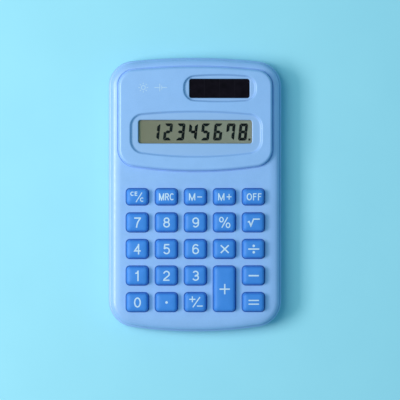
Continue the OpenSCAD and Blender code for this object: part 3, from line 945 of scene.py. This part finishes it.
def keycap(cell):
    """A key's cap. Towards its middle, its corners shrink more slowly than its sides."""
    s = Shape()
    centre = key_centre(cell)
    size = key_size(cell)
    shrink = 0.6
    least_r = 0.16
    least_side = 0.02

    def outline(inset):
        r = max(KEY_CORNER - inset * shrink, least_r) if inset > 0 else KEY_CORNER - inset
        box = [side - 2 * inset for side in size]
        return round_rect(box, min(r, min(box) / 2 - least_side), 0, centre)

    bottom, top = s.loft(outline, KEY_SIDE)
    s.crown(top)
    s.crown(bottom)
    return s


# ---- Legends ----


def oval(cx, cy, rx, ry, start, end, steps=28):
    points = []
    for i in range(steps + 1):
        a = math.radians(start + (end - start) * i / steps)
        points.append((cx + rx * math.cos(a), cy + ry * math.sin(a)))
    return points


def turned(strokes):
    return [[(-x, -y) for x, y in stroke] for stroke in strokes]


SIX = [
    oval(0, -0.70, 1.10, 1.10, 90, 450, 36),
    oval(0.06, 0.30, 1.17, 1.50, 42, 180, 16) + [(-1.10, -0.62)],
]
# Middle lines of the strokes of each figure, about 2.8 wide and 4.2 high with its ink
FIGURES = {
    "0": [oval(0, 0, 1.13, 1.80, 90, 450, 40)],
    "1": [
        [(0.22, 2.12), (0.22, -2.15)],
        [(-0.88, 1.02), (-0.42, 1.06), (-0.05, 1.26), (0.14, 1.66), (0.2, 1.9)],
    ],
    "2": [
        oval(-0.02, 0.72, 1.08, 1.08, 172, -38, 22)
        + bezier([(0.62, -0.12), (-0.1, -0.72), (-0.62, -1.12)], 6)
        + bezier([(-0.75, -1.22), (-1.08, -1.5), (-1.12, -1.80)], 6)
        + [(1.18, -1.80)]
    ],
    "3": [
        oval(-0.04, 0.86, 0.98, 0.94, 158, -90, 24) + [(-0.42, -0.08)],
        oval(-0.02, -0.78, 1.10, 1.02, 90, -160, 26),
    ],
    "4": [
        [(0.45, 2.12), (0.45, -2.15)],
        [(0.45, 1.62), (-1.12, -0.72), (1.32, -0.72)],
    ],
    "5": [
        [(1.12, 1.82), (-0.76, 1.82)],
        [(-0.66, 2.08), (-0.93, 0.05)],
        [(-0.93, 0.05)] + oval(-0.02, -0.66, 1.12, 1.18, 132, -158, 26),
    ],
    "6": SIX,
    "7": [
        [(-1.30, 1.80), (1.14, 1.80)] + bezier([(1.14, 1.62), (-0.2, 0.2), (-0.38, -2.15)])
    ],
    "8": [
        oval(0, 0.92, 0.94, 0.88, 90, 450, 32),
        oval(0, -0.84, 1.10, 0.97, 90, 450, 36),
    ],
    "9": turned(SIX),
}
# Capitals, about 3.0 high: (half width, middle lines of the strokes)
LETTERS = {
    "M": (
        1.12,
        [
            [(-1.05, -1.5), (-1.05, 1.5)],
            [(-1.05, 1.3), (0, -1.4), (1.05, 1.3)],
            [(1.05, 1.5), (1.05, -1.5)],
        ],
    ),
    "R": (
        0.82,
        [
            [(-0.72, -1.5), (-0.72, 1.28), (0.1, 1.28)]
            + oval(0.1, 0.62, 0.66, 0.66, 90, -90, 12)
            + [(-0.5, -0.04)],
            [(0.12, -0.1), (0.82, -1.5)],
        ],
    ),
    "C": (0.92, [oval(0, 0, 0.92, 1.28, 42, 318, 28)]),
    "O": (0.98, [oval(0, 0, 0.95, 1.28, 90, 450, 32)]),
    "F": (0.72, [[(-0.6, -1.5), (-0.6, 1.28), (0.76, 1.28)], [(-0.4, 0.1), (0.6, 0.1)]]),
    "E": (
        0.74,
        [
            [(0.78, 1.28), (-0.62, 1.28), (-0.62, -1.28), (0.80, -1.28)],
            [(-0.4, 0.06), (0.66, 0.06)],
        ],
    ),
}


def placed(strokes, dx=0.0, dy=0.0, sx=1.0, sy=None):
    sy = sx if sy is None else sy
    return [[(x * sx + dx, y * sy + dy) for x, y in stroke] for stroke in strokes]


CAPITAL_H = 3.0
LETTER_GAP = 0.78
STROKE_ALLOWANCE = 0.3


def word(letters, height, width, dx=0.0, dy=0.0):
    """Capitals side by side, scaled to a height and an overall width."""
    widths = [LETTERS[c][0] * 2 + LETTER_GAP for c in letters]
    total = sum(widths) - LETTER_GAP
    sx = width / (total + STROKE_ALLOWANCE)
    sy = height / CAPITAL_H
    x = -total / 2
    strokes = []
    for c, w in zip(letters, widths):
        strokes += placed(LETTERS[c][1], dx + (x + LETTERS[c][0]) * sx, dy, sx, sy)
        x += w
    return strokes


def dot(x, y, r):
    """A round dot, which is filled rather than stroked."""
    return ("dot", x, y, r)


FIGURE_STROKE = 0.54
# name: (stroke width, strokes)
LEGENDS = {
    "key_clear": (
        0.36,
        word("CE", 1.65, 2.8, -1.4, 1.25)
        + [[(1.85, 1.75), (-0.6, -2.15)]]
        + word("C", 1.65, 1.45, 1.85, -1.15),
    ),
    "key_memory_recall": (0.42, word("MRC", 2.9, 6.1)),
    "key_memory_minus": (0.42, word("M", 2.9, 2.6, -1.45) + [[(0.65, -0.05), (2.65, -0.05)]]),
    "key_memory_plus": (
        0.42,
        word("M", 2.9, 2.6, -1.4)
        + [[(0.75, 0.0), (2.8, 0.0)], [(1.78, 1.15), (1.78, -1.15)]],
    ),
    "key_off": (0.42, word("OFF", 2.9, 6.1, 0.2)),
    "key_percent": (
        0.46,
        [oval(-1.35, 1.15, 0.74, 0.92, 90, 450, 24), oval(1.35, -1.15, 0.74, 0.92, 90, 450, 24)]
        + [[(1.18, 2.1), (-1.18, -2.1)]],
    ),
    "key_root": (
        0.52,
        [[(-2.45, 0.1), (-1.85, 0.42), (-1.18, -1.45), (-0.1, 1.35), (2.5, 1.35)]],
    ),
    "key_multiply": (0.58, [[(-1.62, 1.58), (1.62, -1.58)], [(1.62, 1.58), (-1.62, -1.58)]]),
    "key_divide": (0.56, [[(-2.25, 0), (2.25, 0)], dot(0, 1.3, 0.52), dot(0, -1.3, 0.52)]),
    "key_plus": (0.54, [[(-2.12, -0.05), (2.12, -0.05)], [(0, 2.05), (0, -2.15)]]),
    "key_minus": (0.6, [[(-2.12, 0), (2.12, 0)]]),
    "key_decimal": (0.6, [dot(0, 0, 0.52)]),
    "key_sign": (
        0.46,
        [[(-2.6, 1.25), (-0.1, 1.25)], [(-1.35, 2.45), (-1.35, 0.05)]]
        + [[(1.75, 2.15), (-1.15, -2.0)], [(0.5, -1.5), (2.9, -1.5)]],
    ),
    "key_equals": (0.5, [[(-2.15, 0.75), (2.15, 0.75)], [(-2.15, -0.75), (2.15, -0.75)]]),
}
for figure, strokes in FIGURES.items():
    LEGENDS["key_" + figure] = (FIGURE_STROKE, strokes)

STROKE_STEP = 0.4
INK_LIFT = 0.014
STROKE_LIFT = 0.003
# How thin a mitre may make a sharp corner, as a part of the stroke's width
LEAST_MITRE = 0.45


def finer(points):
    """The same line with no step longer than STROKE_STEP."""
    out = [points[0]]
    for a, b in zip(points, points[1:]):
        length = math.dist(a, b)
        count = max(1, math.ceil(length / STROKE_STEP))
        for i in range(1, count + 1):
            out.append((a[0] + (b[0] - a[0]) * i / count, a[1] + (b[1] - a[1]) * i / count))
    return out


def ribbon(points, width):
    """Left and right edge points of a stroke, mitred at its corners."""
    closed = math.dist(points[0], points[-1]) < 1e-6
    points = [Vector(p) for p in finer(points)]
    n = len(points)
    pairs = []
    for i, p in enumerate(points):
        before = points[i - 1] if i > 0 else (points[-2] if closed else None)
        after = points[i + 1] if i < n - 1 else (points[1] if closed else None)
        d0 = (p - before).normalized() if before else None
        d1 = (after - p).normalized() if after else None
        d0 = d0 or d1
        d1 = d1 or d0
        along = (d0 + d1).normalized()
        side = Vector((-along.y, along.x))
        reach = width / 2 / max(side.dot(Vector((-d0.y, d0.x))), LEAST_MITRE)
        pairs.append((p + side * reach, p - side * reach))
    return pairs


def lettering(name, strokes, width, centre, surface, material, body):
    """Ink laid on a surface, each stroke a hair above the one before."""
    s = Shape()
    for layer, stroke in enumerate(strokes):
        lift = INK_LIFT + layer * STROKE_LIFT

        def laid(p):
            x = p[0] + centre[0]
            y = p[1] + centre[1]
            s.verts.append((x, y, surface((x, y)) + lift))
            return len(s.verts) - 1

        if stroke[0] == "dot":
            _, x, y, r = stroke
            s.faces.append(tuple(laid(p) for p in circle((x, y), r, 24)))
            continue
        pairs = [(laid(a), laid(b)) for a, b in ribbon(stroke, width)]
        for (a, b), (c, d) in zip(pairs, pairs[1:]):
            s.faces.append((b, d, c, a))
    return make(name, s, material, body, weld=False)


def flat_surface(z):
    return lambda p: z


def mesh_surface(shape):
    """The height of a shape's top at a point."""
    tree = BVHTree.FromPolygons(shape.verts, shape.faces)
    above = 2 * KEY_TOP_Z

    def height(p):
        hit = tree.ray_cast(Vector((p[0], p[1], above)), Vector((0, 0, -1)))
        return hit[0].z

    return height


for key, cell in KEYS.items():
    body = key + "_body"
    cap_shape = keycap(cell)
    cap = make(key + "_cap", cap_shape, key_mat, body)
    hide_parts(key)
    width, strokes = LEGENDS[key]
    legend = lettering(
        key + "_legend", strokes, width, key_centre(cell), mesh_surface(cap_shape), ink_mat, body
    )

# ---- Display digits ----

SHOWN = "12345678"
DIGIT_H = 7.0
DIGIT_W = 3.5
SEGMENT_T = 1.2
SEGMENT_GAP = 0.05
DIGIT_CORNER = 0.5
SLANT = math.tan(math.radians(6))
DIGIT_PITCH = 5.115
LAST_DIGIT_X = 19.45
DIGIT_MID_Y = 25.6
DIGIT_LIFT = 0.02
POINT_X = 22.05
POINT_HALF = 0.42
POINT_LEAN = 0.08
# a top, b upper right, c lower right, d bottom, e lower left, f upper left, g middle
DIGIT_SEGMENTS = {
    "1": "bc",
    "2": "abged",
    "3": "abgcd",
    "4": "fgbc",
    "5": "afgcd",
    "6": "afgedc",
    "7": "fabc",
    "8": "abcdefg",
}


def segment(name):
    """Corners of one segment of an upright figure centred on the origin."""
    w = DIGIT_W / 2
    h = DIGIT_H / 2
    t = SEGMENT_T
    g = SEGMENT_GAP
    c = DIGIT_CORNER
    half_bar = [(w - c, h), (w - c / 2 - g, h - c / 2), (w - t - g * 0.4, h - t)]
    bar = half_bar + [(-x, y) for x, y in reversed(half_bar)]
    side = [
        (w, h - c),
        (w, g),
        (w - t / 2, g),
        (w - t, t / 2),
        (w - t, h - t - g),
        (w - c / 2, h - c / 2 - g),
    ]
    middle = [
        (-w + t / 2 + g, 0),
        (-w + t + g, t / 2),
        (w - t - g, t / 2),
        (w - t / 2 - g, 0),
        (w - t - g, -t / 2),
        (-w + t + g, -t / 2),
    ]
    shapes = {
        "a": bar,
        "d": [(x, -y) for x, y in bar],
        "b": side,
        "c": [(x, -y) for x, y in side],
        "f": [(-x, y) for x, y in side],
        "e": [(-x, -y) for x, y in side],
        "g": middle,
    }
    return shapes[name]


def display_digits():
    s = Shape()
    z = LCD_TOP_Z + DIGIT_LIFT
    for place, figure in enumerate(SHOWN):
        x0 = LAST_DIGIT_X - (len(SHOWN) - 1 - place) * DIGIT_PITCH
        for name in DIGIT_SEGMENTS[figure]:
            corners = [(x0 + x + y * SLANT, DIGIT_MID_Y + y) for x, y in segment(name)]
            s.crown(s.ring(corners, z))
    point_y = DIGIT_MID_Y - DIGIT_H / 2 + POINT_HALF
    corners = [
        (POINT_X + dx * POINT_HALF, point_y + dy * POINT_HALF)
        for dx, dy in ((-1, -1), (1, -1), (1 + POINT_LEAN, 1), (-1 + POINT_LEAN, 1))
    ]
    s.crown(s.ring(corners, z))
    return s


digits = make("display_digits", display_digits(), digit_mat, CASE, weld=False)

# ---- Power marks on the panel: a sun and a cell, in place of any lettering ----

SUN_AT = (-21.3, 43.6)
CELL_MARK_AT = (-14.2, 43.6)
MARK_STROKE = 0.32


def sun_mark(x, y):
    disc_r = 0.8
    ray = (1.35, 2.0)
    rays = 8
    strokes = [oval(x, y, disc_r, disc_r, 90, 450, 20)]
    for i in range(rays):
        a = math.radians(360 / rays * i)
        strokes.append([(x + r * math.cos(a), y + r * math.sin(a)) for r in ray])
    return strokes


def cell_mark(x, y):
    return [
        [(x - 2.6, y), (x - 0.4, y)],
        [(x - 0.4, y + 1.6), (x - 0.4, y - 1.6)],
        [(x + 0.4, y + 0.85), (x + 0.4, y - 0.85)],
        [(x + 0.4, y), (x + 2.6, y)],
    ]


marks = sun_mark(*SUN_AT) + cell_mark(*CELL_MARK_AT)
power_marks = lettering(
    "power_marks", marks, MARK_STROKE, (0, 0), flat_surface(PANEL_Z), faint_ink_mat, CASE
)

# ---- The CAD model's own pieces that show get small edge rounds ----

EDGE_ROUNDS = {"battery_cover": 0.12, "rubber_feet": 0.12, "display_window": 0.05}

for name, width in EDGE_ROUNDS.items():
    bevel = frame["nodes"][name].modifiers.new("edge_round", "BEVEL")
    bevel.width = width * MM
    bevel.segments = 3
    bevel.limit_method = "ANGLE"
    bevel.angle_limit = math.radians(40)

# ---- Floor, light and camera ----

FLOOR_SIDE = 6000
FLOOR_CORNER = 50
FLOOR_TINTS = ((0.422, 0.790, 0.915), (0.438, 0.810, 0.930))


def floor_surface():
    n = Nodes("floor_paper")
    n.feed("Base Color", n.blend(n.spread(n.noise(size_mm=30.0, detail=3.0)), *FLOOR_TINTS))
    n.feed("Normal", n.bump(n.noise(size_mm=0.5, detail=3.0), depth_mm=0.01))
    n.set("Roughness", 0.75)
    return n.material


floor_shape = Shape()
floor_shape.crown(floor_shape.ring(round_rect((FLOOR_SIDE, FLOOR_SIDE), FLOOR_CORNER), 0))
floor = make("floor", floor_shape, floor_surface(), None, weld=False)

scene = bpy.context.scene
scene.view_settings.view_transform = "Standard"

world = bpy.data.worlds.new("studio")
world.use_nodes = True
background = world.node_tree.nodes["Background"]
background.inputs["Color"].default_value = (0.27, 0.79, 1.0, 1)
background.inputs["Strength"].default_value = 0.363
scene.world = world

LIGHT_AIM = (0, 0, 0.005)


def area_light(name, place, span, power, colour):
    """A soft light aimed at the calculator. span is its width, level, and its height."""
    lamp = bpy.data.lights.new(name, "AREA")
    lamp.shape = "RECTANGLE"
    lamp.size, lamp.size_y = span
    lamp.energy = power
    lamp.color = colour
    holder = bpy.data.objects.new(name, lamp)
    scene.collection.objects.link(holder)
    holder.location = place
    aim = Vector(LIGHT_AIM) - Vector(place)
    holder.rotation_euler = aim.to_track_quat("-Z", "Y").to_euler()


area_light("key_light", (-0.604, -0.012, 0.525), (0.42, 0.22), 3.75, (1.0, 1.0, 1.0))
area_light("top_light", (-0.35, 0.135, 0.706), (0.38, 0.38), 1.9, (0.74, 1.0, 0.98))

# The camera is a little to the left of what it aims at. Its picture is VIEW_SIDE wide there.
CAMERA_AT = Vector((-0.028, -0.0022, 0.9))
CAMERA_AIM = Vector((0.00206, -0.0022, 0.0046))
VIEW_SIDE = 0.16454

sight = CAMERA_AIM - CAMERA_AT
camera_data = bpy.data.cameras.new("camera")
camera_data.lens = camera_data.sensor_width * sight.length / VIEW_SIDE
camera_data.clip_end = 20
camera = bpy.data.objects.new("camera", camera_data)
scene.collection.objects.link(camera)
camera.location = CAMERA_AT
camera.rotation_euler = (0, math.atan2(sight.x, sight.z) + math.pi, 0)
scene.camera = camera
